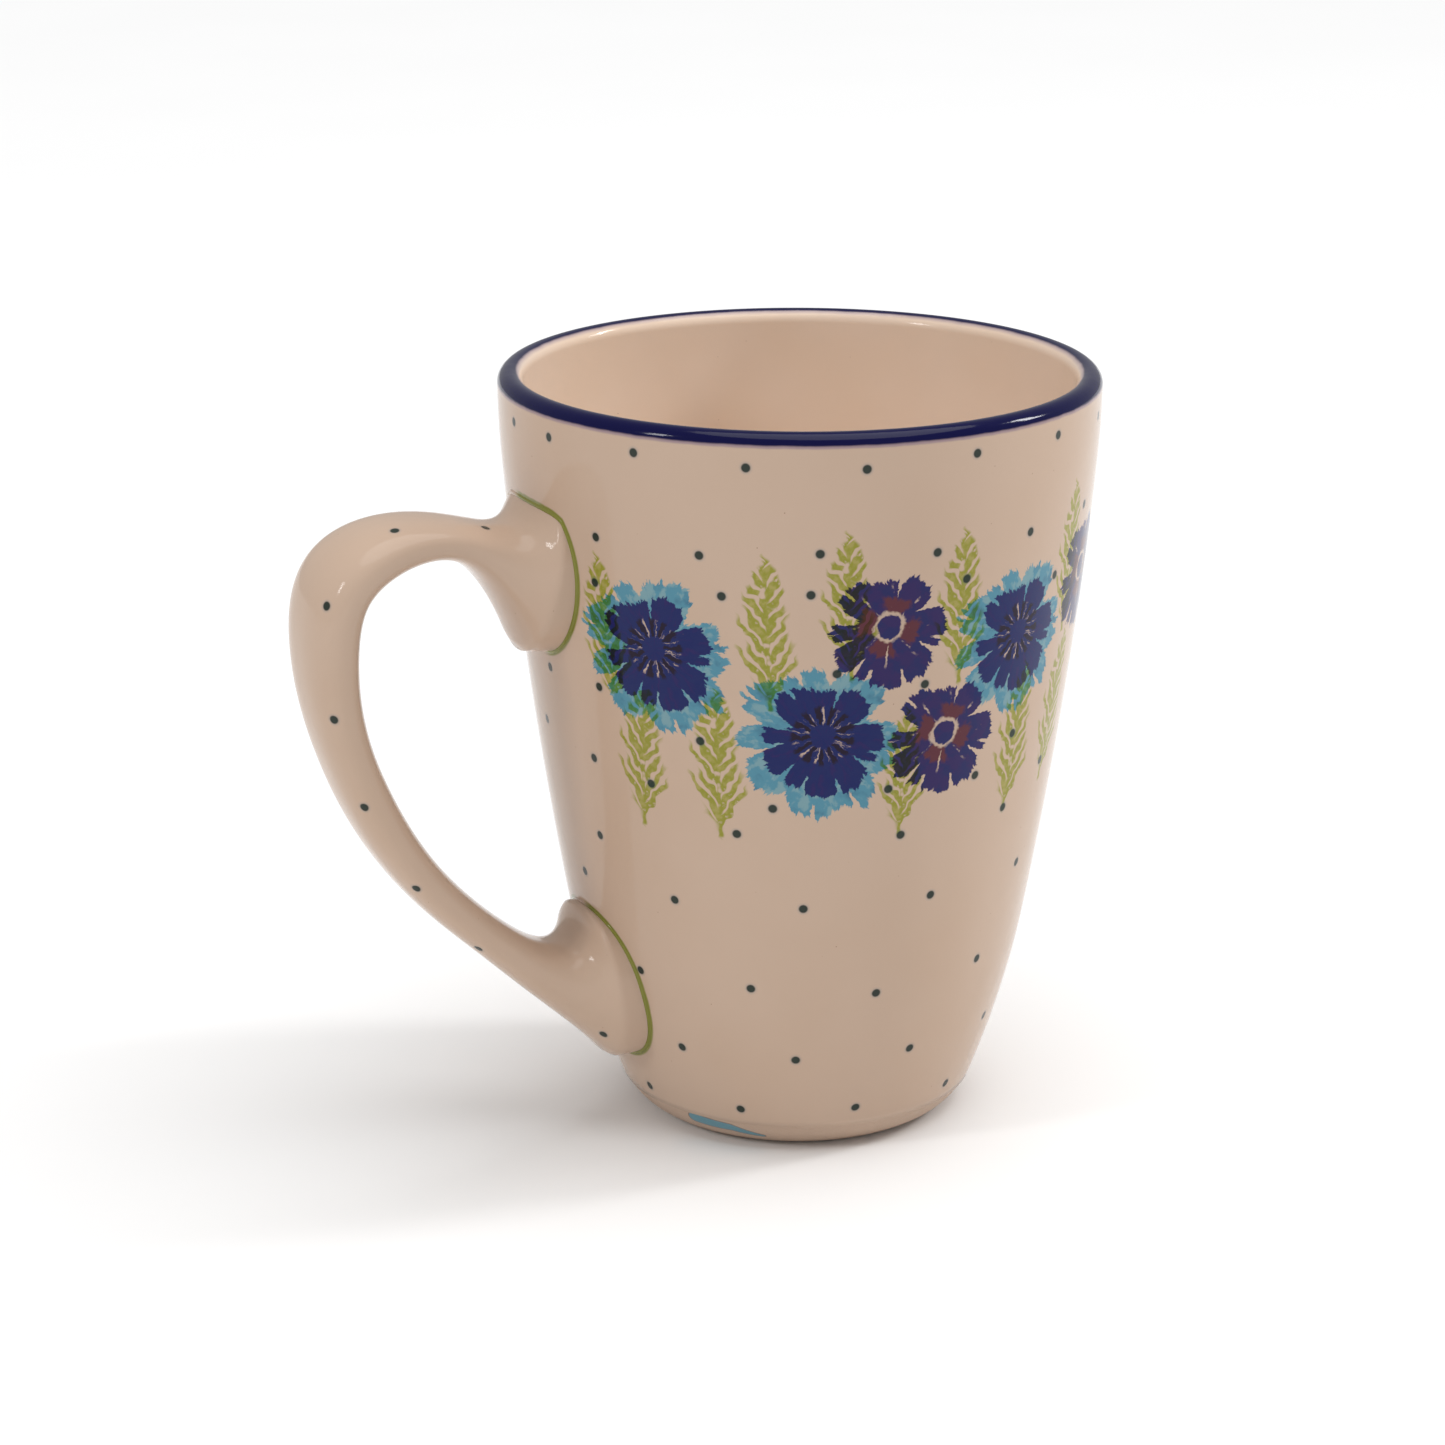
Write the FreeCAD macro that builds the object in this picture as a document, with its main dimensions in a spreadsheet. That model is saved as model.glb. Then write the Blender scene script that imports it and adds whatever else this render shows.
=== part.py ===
"""Polish stoneware mug: a tapered cup with a strap handle stuck on with slip.

Millimetres. The cup's axis is Z, the foot stands on Z = 0 and the handle points along -X.
"""
import FreeCAD, Part
import math
import os
import Sketcher

# ---------------------------------------------------------------- driving sizes
SIZES = {
    # cup, glazed surface
    "cup_height": 114.0,
    "rim_radius": 44.35,
    "shoulder_radius": 43.78,
    "shoulder_level": 100.0,
    "waist_radius": 34.25,
    "waist_level": 30.0,
    "heel_radius": 26.8,
    "heel_level": 4.6,
    "foot_outer_radius": 21.0,
    "foot_inner_radius": 18.0,
    "foot_recess": 1.4,
    "recess_radius": 17.0,
    "lip_radius": 1.9,
    "throat_radius": 39.9,
    "hollow_radius": 29.95,
    "basin_radius": 27.8,
    "basin_level": 20.3,
    "floor_radius": 12.2,
    "floor_level": 7.0,
    # bulge of each stretch of wall
    "heel_curve": 8.0,
    "belly_curve": 150.0,
    "wall_curve": 700.0,
    "neck_curve": 140.0,
    "basin_curve": 16.0,
    # coats and slip
    "glaze_thickness": 0.3,
    "slip_proud": 0.2,
    # pads where the handle meets the wall
    "upper_pad_half_height": 12.6,
    "upper_pad_half_width": 11.4,
    "lower_pad_half_height": 11.9,
    "lower_pad_half_width": 11.1,
    # how far each pad's flare runs out along the strap, and how blunt the sections are
    "upper_flare": 3.7,
    "lower_flare": 4.6,
    "section_bluntness": 2.4,
    "upper_pad_egg": 0.12,
    # strap at four places: thickness and width
    "neck_thickness": 5.2,
    "neck_width": 14.4,
    "bend_thickness": 8.2,
    "bend_width": 17.8,
    "elbow_thickness": 6.8,
    "elbow_width": 14.2,
    "wrist_thickness": 5.7,
    "wrist_width": 12.2,
}

# The strap's centre line, from the upper pad round to the lower one: distance out from the
# cup's axis and level of each place where its course changes.
CENTRE_LINE = {
    "upper_root": (38.5, 88.5),
    "upper_pad": (44.0, 89.1),
    "neck": (54.0, 93.8),
    "crown": (63.5, 94.9),
    "bend": (72.6, 90.4),
    "back": (75.2, 80.0),
    "elbow": (71.4, 61.3),
    "forearm": (62.0, 44.6),
    "wrist": (50.4, 32.8),
    "lower_pad": (34.6, 23.9),
    "lower_root": (29.0, 24.1),
}

SECTION_POINTS = 24
STATION_GAP = 3.0

doc = FreeCAD.newDocument("stoneware_mug")


# ---------------------------------------------------------------- sheet
def fill_sheet():
    sheet = doc.addObject("Spreadsheet::Sheet", "sizes")
    row = 1
    for name, value in SIZES.items():
        add_size(sheet, row, name, value)
        row += 1
    for place, (reach, level) in CENTRE_LINE.items():
        add_size(sheet, row, place + "_reach", reach)
        add_size(sheet, row + 1, place + "_level", level)
        row += 2
    doc.recompute()
    return sheet


def add_size(sheet, row, name, value):
    sheet.set("A%d" % row, name)
    sheet.set("B%d" % row, str(value))
    sheet.setAlias("B%d" % row, name)


def value_of(expression):
    """The number an expression over the sheet's names stands for."""
    total = 0.0
    for sign, name in split_sum(expression):
        total += sign * (float(name) if is_number(name) else SIZES[name])
    return total


def split_sum(expression):
    terms = []
    sign = 1.0
    for word in expression.split():
        if word in "+-":
            sign = 1.0 if word == "+" else -1.0
        else:
            terms.append((sign, word))
    return terms


def is_number(word):
    return word.replace(".", "", 1).isdigit()


def bound(expression):
    """The same expression as FreeCAD reads it, with each name looked up in the sheet."""
    words = []
    for word in expression.split():
        plain = word in "+-" or is_number(word)
        words.append(word if plain else "sizes." + word)
    return " ".join(words)


# ---------------------------------------------------------------- turned solids
def turned_body(label, corners):
    """A PartDesign body turned about Z from a closed outline of corners.

    Each corner is (radius, level, bulge): bulge is None for a straight run to the next corner, or
    (curve radius name, +1 or -1) for an arc that bulges to the right or left of the way round.
    """
    body = doc.addObject("PartDesign::Body", label)
    body.Label = label
    sketch = body.newObject("Sketcher::SketchObject", label + "_outline")
    plane = [f for f in body.Origin.OriginFeatures if f.Role == "XZ_Plane"][0]
    sketch.AttachmentSupport = [(plane, "")]
    sketch.MapMode = "FlatFace"
    draw_outline(sketch, corners)
    turn = body.newObject("PartDesign::Revolution", label + "_turn")
    turn.Profile = sketch
    turn.ReferenceAxis = (sketch, ["V_Axis"])
    turn.Angle = 360
    sketch.Visibility = False
    return body


def draw_outline(sketch, corners):
    points = [FreeCAD.Vector(value_of(r), value_of(z), 0) for r, z, _ in corners]
    count = len(corners)
    starts = []
    for index, (_, _, bulge) in enumerate(corners):
        here = points[index]
        there = points[(index + 1) % count]
        if bulge is None:
            sketch.addGeometry(Part.LineSegment(here, there), False)
            starts.append((1, 2))
        else:
            starts.append(add_arc(sketch, here, there, bulge))
    for index in range(count):
        after = (index + 1) % count
        sketch.addConstraint(
            Sketcher.Constraint("Coincident", index, starts[index][1], after, starts[after][0]))
    for index, (radius, level, bulge) in enumerate(corners):
        pin_corner(sketch, index, starts[index][0], radius, level)
        if bulge is not None:
            size_arc(sketch, index, bulge[0])


def add_arc(sketch, here, there, bulge):
    """Add the short arc between two points; give back which of its ends come first and last."""
    radius = value_of(bulge[0])
    to_right = bulge[1] > 0
    first, last = (here, there) if to_right else (there, here)
    chord = last - first
    half = chord.Length / 2.0
    left = FreeCAD.Vector(-chord.y, chord.x, 0)
    left.normalize()
    centre = (first + last) * 0.5 + left * math.sqrt(radius * radius - half * half)
    circle = Part.Circle(centre, FreeCAD.Vector(0, 0, 1), radius)
    begin = math.atan2(first.y - centre.y, first.x - centre.x)
    end = math.atan2(last.y - centre.y, last.x - centre.x)
    if end < begin:
        end += 2.0 * math.pi
    sketch.addGeometry(Part.ArcOfCircle(circle, begin, end), False)
    return (1, 2) if to_right else (2, 1)


def pin_corner(sketch, index, end, radius, level):
    if radius == "0":
        sketch.addConstraint(Sketcher.Constraint("PointOnObject", index, end, -2))
    else:
        number = sketch.addConstraint(
            Sketcher.Constraint("DistanceX", -1, 1, index, end, value_of(radius)))
        sketch.setExpression("Constraints[%d]" % number, bound(radius))
    if level == "0":
        sketch.addConstraint(Sketcher.Constraint("PointOnObject", index, end, -1))
    else:
        number = sketch.addConstraint(
            Sketcher.Constraint("DistanceY", -1, 1, index, end, value_of(level)))
        sketch.setExpression("Constraints[%d]" % number, bound(level))


def size_arc(sketch, index, curve):
    number = sketch.addConstraint(Sketcher.Constraint("Radius", index, value_of(curve)))
    sketch.setExpression("Constraints[%d]" % number, bound(curve))


def outer_wall(shift):
    """Corners up the outside of the wall from the heel, moved out from the glazed face by shift."""
    return [
        ("heel_radius" + shift, "heel_level", ("belly_curve", 1)),
        ("waist_radius" + shift, "waist_level", ("wall_curve", 1)),
        ("shoulder_radius" + shift, "shoulder_level", ("neck_curve", 1)),
    ]


def inner_wall(shift, drop):
    """Corners down the inside of the wall from the throat to the floor's middle."""
    return [
        ("throat_radius" + shift, "shoulder_level", ("wall_curve", -1)),
        ("hollow_radius" + shift, "waist_level", None),
        ("basin_radius" + shift, "basin_level", ("basin_curve", -1)),
        ("floor_radius", "floor_level" + drop, None),
        ("0", "floor_level" + drop, None),
    ]


BARE = " - glaze_thickness"
LIP_LEVEL = "cup_height - lip_radius"
MOUTH = "rim_radius - lip_radius - lip_radius"


def make_cup_body():
    """The fired clay: foot ring with its recess, wall, rounded lip, hollow and floor."""
    corners = [
        ("0", "foot_recess", None),
        ("recess_radius", "foot_recess", None),
        ("foot_inner_radius", "0", None),
        ("foot_outer_radius", "0", ("heel_curve", 1)),
    ]
    corners += outer_wall(BARE)
    corners += [
        ("rim_radius" + BARE, LIP_LEVEL, ("lip_radius" + BARE, 1)),
        ("rim_radius - lip_radius", "cup_height" + BARE, ("lip_radius" + BARE, 1)),
        (MOUTH + " + glaze_thickness", LIP_LEVEL, ("neck_curve", -1)),
    ]
    corners += inner_wall(" + glaze_thickness", BARE)
    return turned_body("cup_body", corners)


def make_filled_cup(label, shift):
    """The cup's outside as one full solid: a tool for fitting the handle and its slip."""
    corners = [("0", "0", None), ("foot_outer_radius", "0", ("heel_curve", 1))]
    corners += outer_wall(shift)
    corners += [("rim_radius" + shift, LIP_LEVEL, None), ("0", LIP_LEVEL, None)]
    return turned_body(label, corners)


def make_rim_band():
    """The cobalt coat that wraps the lip."""
    corners = [
        ("rim_radius", LIP_LEVEL, ("lip_radius", 1)),
        ("rim_radius - lip_radius", "cup_height", ("lip_radius", 1)),
        (MOUTH, LIP_LEVEL, None),
        (MOUTH + " + glaze_thickness", LIP_LEVEL, ("lip_radius" + BARE, -1)),
        ("rim_radius - lip_radius", "cup_height" + BARE, ("lip_radius" + BARE, -1)),
        ("rim_radius" + BARE, LIP_LEVEL, None),
    ]
    return turned_body("rim_band", corners)


def make_outer_coat():
    """The clear glaze on the outside, from above the bare foot up to the rim band."""
    corners = outer_wall("")
    corners += [("rim_radius", LIP_LEVEL, None), ("rim_radius" + BARE, LIP_LEVEL, ("neck_curve", -1))]
    corners += [
        ("shoulder_radius" + BARE, "shoulder_level", ("wall_curve", -1)),
        ("waist_radius" + BARE, "waist_level", ("belly_curve", -1)),
        ("heel_radius" + BARE, "heel_level", None),
    ]
    return turned_body("outer_coat", corners)


def make_inner_glaze():
    """The clear glaze in the hollow, from the rim band down over the floor."""
    corners = [
        ("0", "floor_level", None),
        ("0", "floor_level" + BARE, None),
        ("floor_radius", "floor_level" + BARE, ("basin_curve", 1)),
        ("basin_radius + glaze_thickness", "basin_level", None),
        ("hollow_radius + glaze_thickness", "waist_level", ("wall_curve", 1)),
        ("throat_radius + glaze_thickness", "shoulder_level", ("neck_curve", 1)),
        (MOUTH + " + glaze_thickness", LIP_LEVEL, None),
        (MOUTH, LIP_LEVEL, ("neck_curve", -1)),
    ]
    corners += [
        ("throat_radius", "shoulder_level", ("wall_curve", -1)),
        ("hollow_radius", "waist_level", None),
        ("basin_radius", "basin_level", ("basin_curve", -1)),
        ("floor_radius", "floor_level", None),
    ]
    return turned_body("inner_glaze", corners)


# ---------------------------------------------------------------- handle and slip
def strap_line():
    """The centre line as one smooth curve, in the X-Z plane."""
    points = []
    for place in CENTRE_LINE:
        reach = sheet.get(place + "_reach")
        points.append(FreeCAD.Vector(-reach, 0, sheet.get(place + "_level")))
    line = Part.BSplineCurve()
    line.interpolate(points)
    return line


def length_at(line, place):
    """Length along the centre line to the point nearest a named place."""
    spot = FreeCAD.Vector(-sheet.get(place + "_reach"), 0, sheet.get(place + "_level"))
    return line.length(line.FirstParameter, line.parameter(spot))


def eased(along, knots):
    """A value that eases from knot to knot; knots are (length, value) in order."""
    if along <= knots[0][0]:
        return knots[0][1]
    for (start, low), (stop, high) in zip(knots, knots[1:]):
        if along <= stop:
            part = (along - start) / (stop - start)
            return low + (high - low) * part * part * (3.0 - 2.0 * part)
    return knots[-1][1]


def flare(distance, reach):
    """How much of the pad's shape is left at a distance out from the wall: 1 at the wall."""
    return math.exp(-max(distance, 0.0) / reach)


def strap_section(centre, along, half_thick, half_wide, egg):
    """A blunt oval across the strap; egg widens its upper half and narrows its lower half."""
    across = FreeCAD.Vector(0, 1, 0)
    rise = along.cross(across)
    power = 2.0 / sheet.get("section_bluntness")
    points = []
    for number in range(SECTION_POINTS):
        angle = 2.0 * math.pi * number / SECTION_POINTS
        wide = math.copysign(abs(math.cos(angle)) ** power, math.cos(angle))
        thick = math.copysign(abs(math.sin(angle)) ** power, math.sin(angle))
        wide *= half_wide * (1.0 - egg * thick)
        points.append(centre + across * wide + rise * (thick * half_thick))
    outline = Part.BSplineCurve()
    outline.interpolate(points, PeriodicFlag=True)
    return Part.Wire([outline.toShape()])


def make_handle_blank(label):
    """The strap as a loft through sections along its centre line, its pads run into the wall."""
    line = strap_line()
    total = line.length()
    first = length_at(line, "upper_pad")
    last = length_at(line, "lower_pad")
    thickness, width = [], []
    for place in ("neck", "bend", "elbow", "wrist"):
        along = length_at(line, place)
        thickness.append((along, sheet.get(place + "_thickness") / 2.0))
        width.append((along, sheet.get(place + "_width") / 2.0))
    sections = []
    count = int(round(total / STATION_GAP))
    for number in range(count + 1):
        here = total * number / count
        parameter = line.parameterAtDistance(here)
        upper = flare(here - first, sheet.get("upper_flare"))
        lower = flare(last - here, sheet.get("lower_flare"))
        half_thick = eased(here, thickness)
        half_wide = eased(here, width)
        half_thick += upper * (sheet.get("upper_pad_half_height") - half_thick)
        half_wide += upper * (sheet.get("upper_pad_half_width") - half_wide)
        half_thick += lower * (sheet.get("lower_pad_half_height") - half_thick)
        half_wide += lower * (sheet.get("lower_pad_half_width") - half_wide)
        heading = line.tangent(parameter)[0]
        heading += FreeCAD.Vector(-1, 0, 0.1) * upper * 2.0
        heading += FreeCAD.Vector(1, 0, 0.24) * lower * 2.0
        heading.normalize()
        egg = sheet.get("upper_pad_egg") * upper
        sections.append(strap_section(line.value(parameter), heading, half_thick, half_wide, egg))
    blank = doc.addObject("Part::Feature", label)
    blank.Shape = Part.makeLoft(sections, True, False)
    return blank


def make_zone(label, low, high):
    """A box round the handle between two levels: a tool that picks out one of its two ends."""
    box = doc.addObject("Part::Box", label)
    box.setExpression("Length", "sizes.rim_radius * 2")
    box.setExpression("Width", "sizes.rim_radius * 2")
    box.setExpression("Height", "%s - %s" % (bound(high), bound(low)))
    box.setExpression("Placement.Base.x", "-sizes.rim_radius * 2")
    box.setExpression("Placement.Base.y", "-sizes.rim_radius")
    box.setExpression("Placement.Base.z", bound(low))
    return box


def cut(label, base, tool):
    result = doc.addObject("Part::Cut", label)
    result.Label = label
    result.Base = base
    result.Tool = tool
    return result


def common(label, shapes):
    result = doc.addObject("Part::MultiCommon", label)
    result.Label = label
    result.Shapes = shapes
    return result


# ---------------------------------------------------------------- build
sheet = fill_sheet()
cup_body = make_cup_body()
rim_band = make_rim_band()
inner_glaze = make_inner_glaze()
outer_coat = make_outer_coat()
bare_cup = make_filled_cup("bare_cup", BARE)
slip_cup = make_filled_cup("slip_cup", " + slip_proud")
doc.recompute()

handle_blank = make_handle_blank("handle_blank")
upper_zone = make_zone("upper_zone", "elbow_level", "cup_height")
lower_zone = make_zone("lower_zone", "0", "elbow_level")
slip_layer = cut("slip_layer", slip_cup, bare_cup)
handle = cut("handle", handle_blank, slip_cup)
upper_slip_joint = common("upper_slip_joint", [handle_blank, slip_layer, upper_zone])
lower_slip_joint = common("lower_slip_joint", [handle_blank, slip_layer, lower_zone])
outer_glaze = cut("outer_glaze", outer_coat, handle_blank)
doc.recompute()

PARTS = {
    "cup_body": cup_body,
    "handle": handle,
    "upper_slip_joint": upper_slip_joint,
    "lower_slip_joint": lower_slip_joint,
    "rim_band": rim_band,
    "outer_glaze": outer_glaze,
    "inner_glaze": inner_glaze,
}

for item in doc.Objects:
    if "Invalid" in item.State or "Error" in item.State:
        raise RuntimeError("%s did not build: %s" % (item.Name, item.State))

os.makedirs("parts", exist_ok=True)
for node, item in PARTS.items():
    shape = item.Shape
    if shape.isNull() or not shape.isValid():
        raise RuntimeError("%s has no valid shape" % node)
    shape.exportStep("parts/%s.step" % node)
    box = shape.BoundBox
    print("%-18s solids %d volume %.0f  X %.2f..%.2f  Y %.2f..%.2f  Z %.2f..%.2f" % (
        node, len(shape.Solids), shape.Volume,
        box.XMin, box.XMax, box.YMin, box.YMax, box.ZMin, box.ZMax))
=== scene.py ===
"""Polish stoneware mug: glazed surfaces, handle and painted decoration around the CAD frame."""
import math

import bpy
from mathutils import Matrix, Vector


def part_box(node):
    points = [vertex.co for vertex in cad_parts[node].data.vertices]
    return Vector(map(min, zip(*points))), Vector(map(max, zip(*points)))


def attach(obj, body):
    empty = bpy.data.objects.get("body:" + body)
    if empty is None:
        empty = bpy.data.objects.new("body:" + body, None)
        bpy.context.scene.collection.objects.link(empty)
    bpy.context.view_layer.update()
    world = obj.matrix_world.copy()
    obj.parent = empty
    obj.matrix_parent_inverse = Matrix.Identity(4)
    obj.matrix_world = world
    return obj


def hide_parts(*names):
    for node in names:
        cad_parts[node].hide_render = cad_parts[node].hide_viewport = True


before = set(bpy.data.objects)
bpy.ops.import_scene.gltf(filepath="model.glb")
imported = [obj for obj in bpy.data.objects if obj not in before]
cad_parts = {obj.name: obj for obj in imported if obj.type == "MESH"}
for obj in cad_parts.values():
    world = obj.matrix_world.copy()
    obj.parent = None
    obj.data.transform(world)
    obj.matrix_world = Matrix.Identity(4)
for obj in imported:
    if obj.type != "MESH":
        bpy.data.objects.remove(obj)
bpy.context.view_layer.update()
MM = 0.001

# ---------------------------------------------------------------- sizes in millimetres
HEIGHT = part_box("rim_band")[1].z / MM
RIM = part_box("rim_band")[1].x / MM
COAT = (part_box("outer_glaze")[1].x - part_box("cup_body")[1].x) / MM
LIP = 1.9
LIP_LEVEL = HEIGHT - LIP
SHOULDER = (RIM - 0.57, 100.0)
WAIST = (34.25, 30.0)
HEEL = (26.8, 4.6)
FOOT_OUTER = 21.0
FOOT_INNER = 18.0
RECESS = (17.0, 1.4)
THROAT = (39.9, 100.0)
HOLLOW = (29.95, 30.0)
BASIN = (27.8, 20.3)
FLOOR = (12.2, 7.0)
HEEL_CURVE = 8.0
BELLY_CURVE = 150.0
WALL_CURVE = 700.0
NECK_CURVE = 140.0
BASIN_CURVE = 16.0
FOOT_CURVE = 1.6
TURN_STEPS = 288

# Handle: centre line from the upper pad round to the lower pad, distance from the axis and level.
CENTRE_LINE = {
    "upper_root": (38.5, 88.5),
    "upper_pad": (44.0, 89.1),
    "neck": (54.0, 93.8),
    "crown": (63.5, 94.9),
    "bend": (72.6, 90.4),
    "back": (75.2, 80.0),
    "elbow": (71.4, 61.3),
    "forearm": (62.0, 44.6),
    "wrist": (50.4, 32.8),
    "lower_pad": (34.6, 23.9),
    "lower_root": (29.0, 24.1),
}
STRAP_THICKNESS = {"neck": 5.2, "bend": 8.2, "elbow": 6.8, "wrist": 5.7}
STRAP_WIDTH = {"neck": 14.4, "bend": 17.8, "elbow": 14.2, "wrist": 12.2}
# Each pad: half its height and width, how far its flare runs out, and the way the strap heads there.
UPPER_PAD = {"high": 12.6, "wide": 11.4, "flare": 3.7, "heading": (-1.0, 0.0, 0.1)}
LOWER_PAD = {"high": 11.9, "wide": 11.1, "flare": 4.6, "heading": (1.0, 0.0, 0.24)}
HEADING_PULL = 2.0
# Sections are blunt ovals; the upper pad's is rounder, and narrower towards its bottom.
BLUNTNESS = 2.4
UPPER_ROUNDING = 0.35
UPPER_EGG = 0.12
STRAP_SIDES = 96
STRAP_STATIONS = 190
CURVE_STEPS = 800
# How deep the handle may go into the wall, and the bead of slip round each pad.
SUNK_DEPTH = 1.5
SEAM_RADIUS = 0.45
SEAM_SIDES = 10


# ---------------------------------------------------------------- turned surfaces
def arc(start, stop, radius, side, steps):
    """Points of the short arc from start to stop, bulging right (+1) or left (-1) of the way."""
    first, last = Vector(start), Vector(stop)
    chord = last - first
    half = chord.length / 2.0
    right = Vector((chord.y, -chord.x)).normalized() * side
    centre = (first + last) / 2.0 - right * math.sqrt(max(radius * radius - half * half, 0.0))
    begin = first - centre
    sweep = 2.0 * math.asin(min(half / radius, 1.0))
    turn = sweep if side > 0 else -sweep
    points = []
    for step in range(1, steps + 1):
        angle = turn * step / steps
        x = begin.x * math.cos(angle) - begin.y * math.sin(angle)
        y = begin.x * math.sin(angle) + begin.y * math.cos(angle)
        points.append((centre.x + x, centre.y + y))
    return points


def line(start, stop, steps):
    """Points along a straight run, without its start."""
    points = []
    for step in range(1, steps + 1):
        part = step / steps
        points.append((start[0] + (stop[0] - start[0]) * part, start[1] + (stop[1] - start[1]) * part))
    return points


def moved(point, shift):
    """A point of a run moved out from the axis by shift."""
    return (point[0] + shift, point[1])


def outer_run(shift):
    """Up the outside of the wall from the heel to the lip."""
    heel, waist, shoulder = moved(HEEL, shift), moved(WAIST, shift), moved(SHOULDER, shift)
    lip = (RIM + shift, LIP_LEVEL)
    run = [heel]
    run += arc(heel, waist, BELLY_CURVE, 1, 24)
    run += arc(waist, shoulder, WALL_CURVE, 1, 48)
    run += arc(shoulder, lip, NECK_CURVE, 1, 12)
    return run


WALL_RUN = outer_run(0.0)


def inner_run(shift, drop):
    """Down the inside of the wall from the lip to the middle of the floor."""
    lip = (RIM - 2.0 * LIP + shift, LIP_LEVEL)
    throat, hollow, basin = moved(THROAT, shift), moved(HOLLOW, shift), moved(BASIN, shift)
    floor = (FLOOR[0], FLOOR[1] - drop)
    run = [lip]
    run += arc(lip, throat, NECK_CURVE, -1, 12)
    run += arc(throat, hollow, WALL_CURVE, -1, 40)
    run += line(hollow, basin, 6)
    run += arc(basin, floor, BASIN_CURVE, -1, 24)
    run += line(floor, (0.0, floor[1]), 6)
    return run


def lip_run(coat):
    """Over the lip from its outside to its inside, sunk below the glazed face by coat."""
    radius = LIP - coat
    centre = RIM - LIP
    steps = 28
    run = []
    for step in range(steps + 1):
        angle = math.pi * step / steps
        run.append((centre + radius * math.cos(angle), LIP_LEVEL + radius * math.sin(angle)))
    return run


def foot_run():
    """From the middle of the recess out over the foot ring to the heel."""
    heel = moved(HEEL, -COAT)
    run = [(0.0, RECESS[1])]
    run += line(run[0], RECESS, 8)
    run += arc(RECESS, (FOOT_INNER, 0.0), FOOT_CURVE, -1, 5)
    run += line((FOOT_INNER, 0.0), (FOOT_OUTER, 0.0), 4)
    run += arc((FOOT_OUTER, 0.0), heel, HEEL_CURVE, 1, 14)
    return run


def turned(name, run):
    """A mesh turned about Z from points (radius, level); a point on the axis becomes one vertex."""
    vertices, rings = [], []
    for radius, level in run:
        if radius < 1e-6:
            rings.append([len(vertices)])
            vertices.append((0.0, 0.0, level * MM))
            continue
        ring = []
        for step in range(TURN_STEPS):
            angle = 2.0 * math.pi * step / TURN_STEPS
            ring.append(len(vertices))
            vertices.append((radius * math.cos(angle) * MM, radius * math.sin(angle) * MM, level * MM))
        rings.append(ring)
    faces = []
    for low, high in zip(rings, rings[1:]):
        for step in range(TURN_STEPS):
            after = (step + 1) % TURN_STEPS
            if len(low) == 1:
                faces.append((low[0], high[after], high[step]))
            elif len(high) == 1:
                faces.append((low[step], low[after], high[0]))
            else:
                faces.append((low[step], low[after], high[after], high[step]))
    return make_piece(name, vertices, faces)


def put_in_scene(thing):
    """Make an object part of the scene, so that it counts and shows."""
    bpy.context.scene.collection.objects.link(thing)


def tube_faces(rows, columns, closed=False):
    """Faces between neighbouring rings of a tube; a closed tube joins its last ring to its first."""
    faces = []
    for row in range(rows if closed else rows - 1):
        low, high = row * columns, (row + 1) % rows * columns
        for step in range(columns):
            after = (step + 1) % columns
            faces.append((low + step, low + after, high + after, high + step))
    return faces


def make_piece(name, vertices, faces):
    """A smooth-shaded object in the scene."""
    mesh = bpy.data.meshes.new(name)
    mesh.from_pydata(vertices, [], faces)
    mesh.validate()
    mesh.shade_smooth()
    piece = bpy.data.objects.new(name, mesh)
    put_in_scene(piece)
    return piece


# ---------------------------------------------------------------- handle
def strap_curve():
    """The centre line as points close together, through the named places, with lengths along."""
    places = [Vector((-reach, 0.0, level)) for reach, level in CENTRE_LINE.values()]
    knots = [0.0]
    for here, there in zip(places, places[1:]):
        knots.append(knots[-1] + (there - here).length)
    bends = spline_bends(knots, places)
    points = []
    for number in range(CURVE_STEPS + 1):
        points.append(natural_spline(knots, places, bends, knots[-1] * number / CURVE_STEPS))
    lengths = [0.0]
    for here, there in zip(points, points[1:]):
        lengths.append(lengths[-1] + (there - here).length)
    return points, lengths


def natural_spline(knots, places, bends, at):
    """A point on the natural cubic spline through places at knots."""
    index = 0
    while index < len(knots) - 2 and at > knots[index + 1]:
        index += 1
    span = knots[index + 1] - knots[index]
    b = (at - knots[index]) / span
    a = 1.0 - b
    curve = ((a ** 3 - a) * bends[index] + (b ** 3 - b) * bends[index + 1]) * (span * span / 6.0)
    return places[index] * a + places[index + 1] * b + curve


def spline_bends(knots, places):
    """Second derivatives of the natural spline at its knots, by one tridiagonal sweep."""
    count = len(knots)
    upper = [0.0] * count
    value = [Vector() for _ in range(count)]
    for i in range(1, count - 1):
        before, after = knots[i] - knots[i - 1], knots[i + 1] - knots[i]
        weight = before / (before + after)
        pivot = weight * upper[i - 1] + 2.0
        upper[i] = (weight - 1.0) / pivot
        slope = (places[i + 1] - places[i]) / after - (places[i] - places[i - 1]) / before
        value[i] = (slope * 6.0 / (before + after) - value[i - 1] * weight) / pivot
    bends = [Vector() for _ in range(count)]
    for i in range(count - 2, 0, -1):
        bends[i] = bends[i + 1] * upper[i] + value[i]
    return bends


def length_at(points, lengths, place):
    """Length along the strap at a named place of its centre line."""
    spot = Vector((-CENTRE_LINE[place][0], 0.0, CENTRE_LINE[place][1]))
    nearest = min(range(len(points)), key=lambda i: (points[i] - spot).length)
    return lengths[nearest]


def eased(along, knots):
    """A value that eases from knot to knot; knots are (length, value) in order."""
    if along <= knots[0][0]:
        return knots[0][1]
    for (start, low), (stop, high) in zip(knots, knots[1:]):
        if along <= stop:
            part = (along - start) / (stop - start)
            return low + (high - low) * part * part * (3.0 - 2.0 * part)
    return knots[-1][1]


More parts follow.
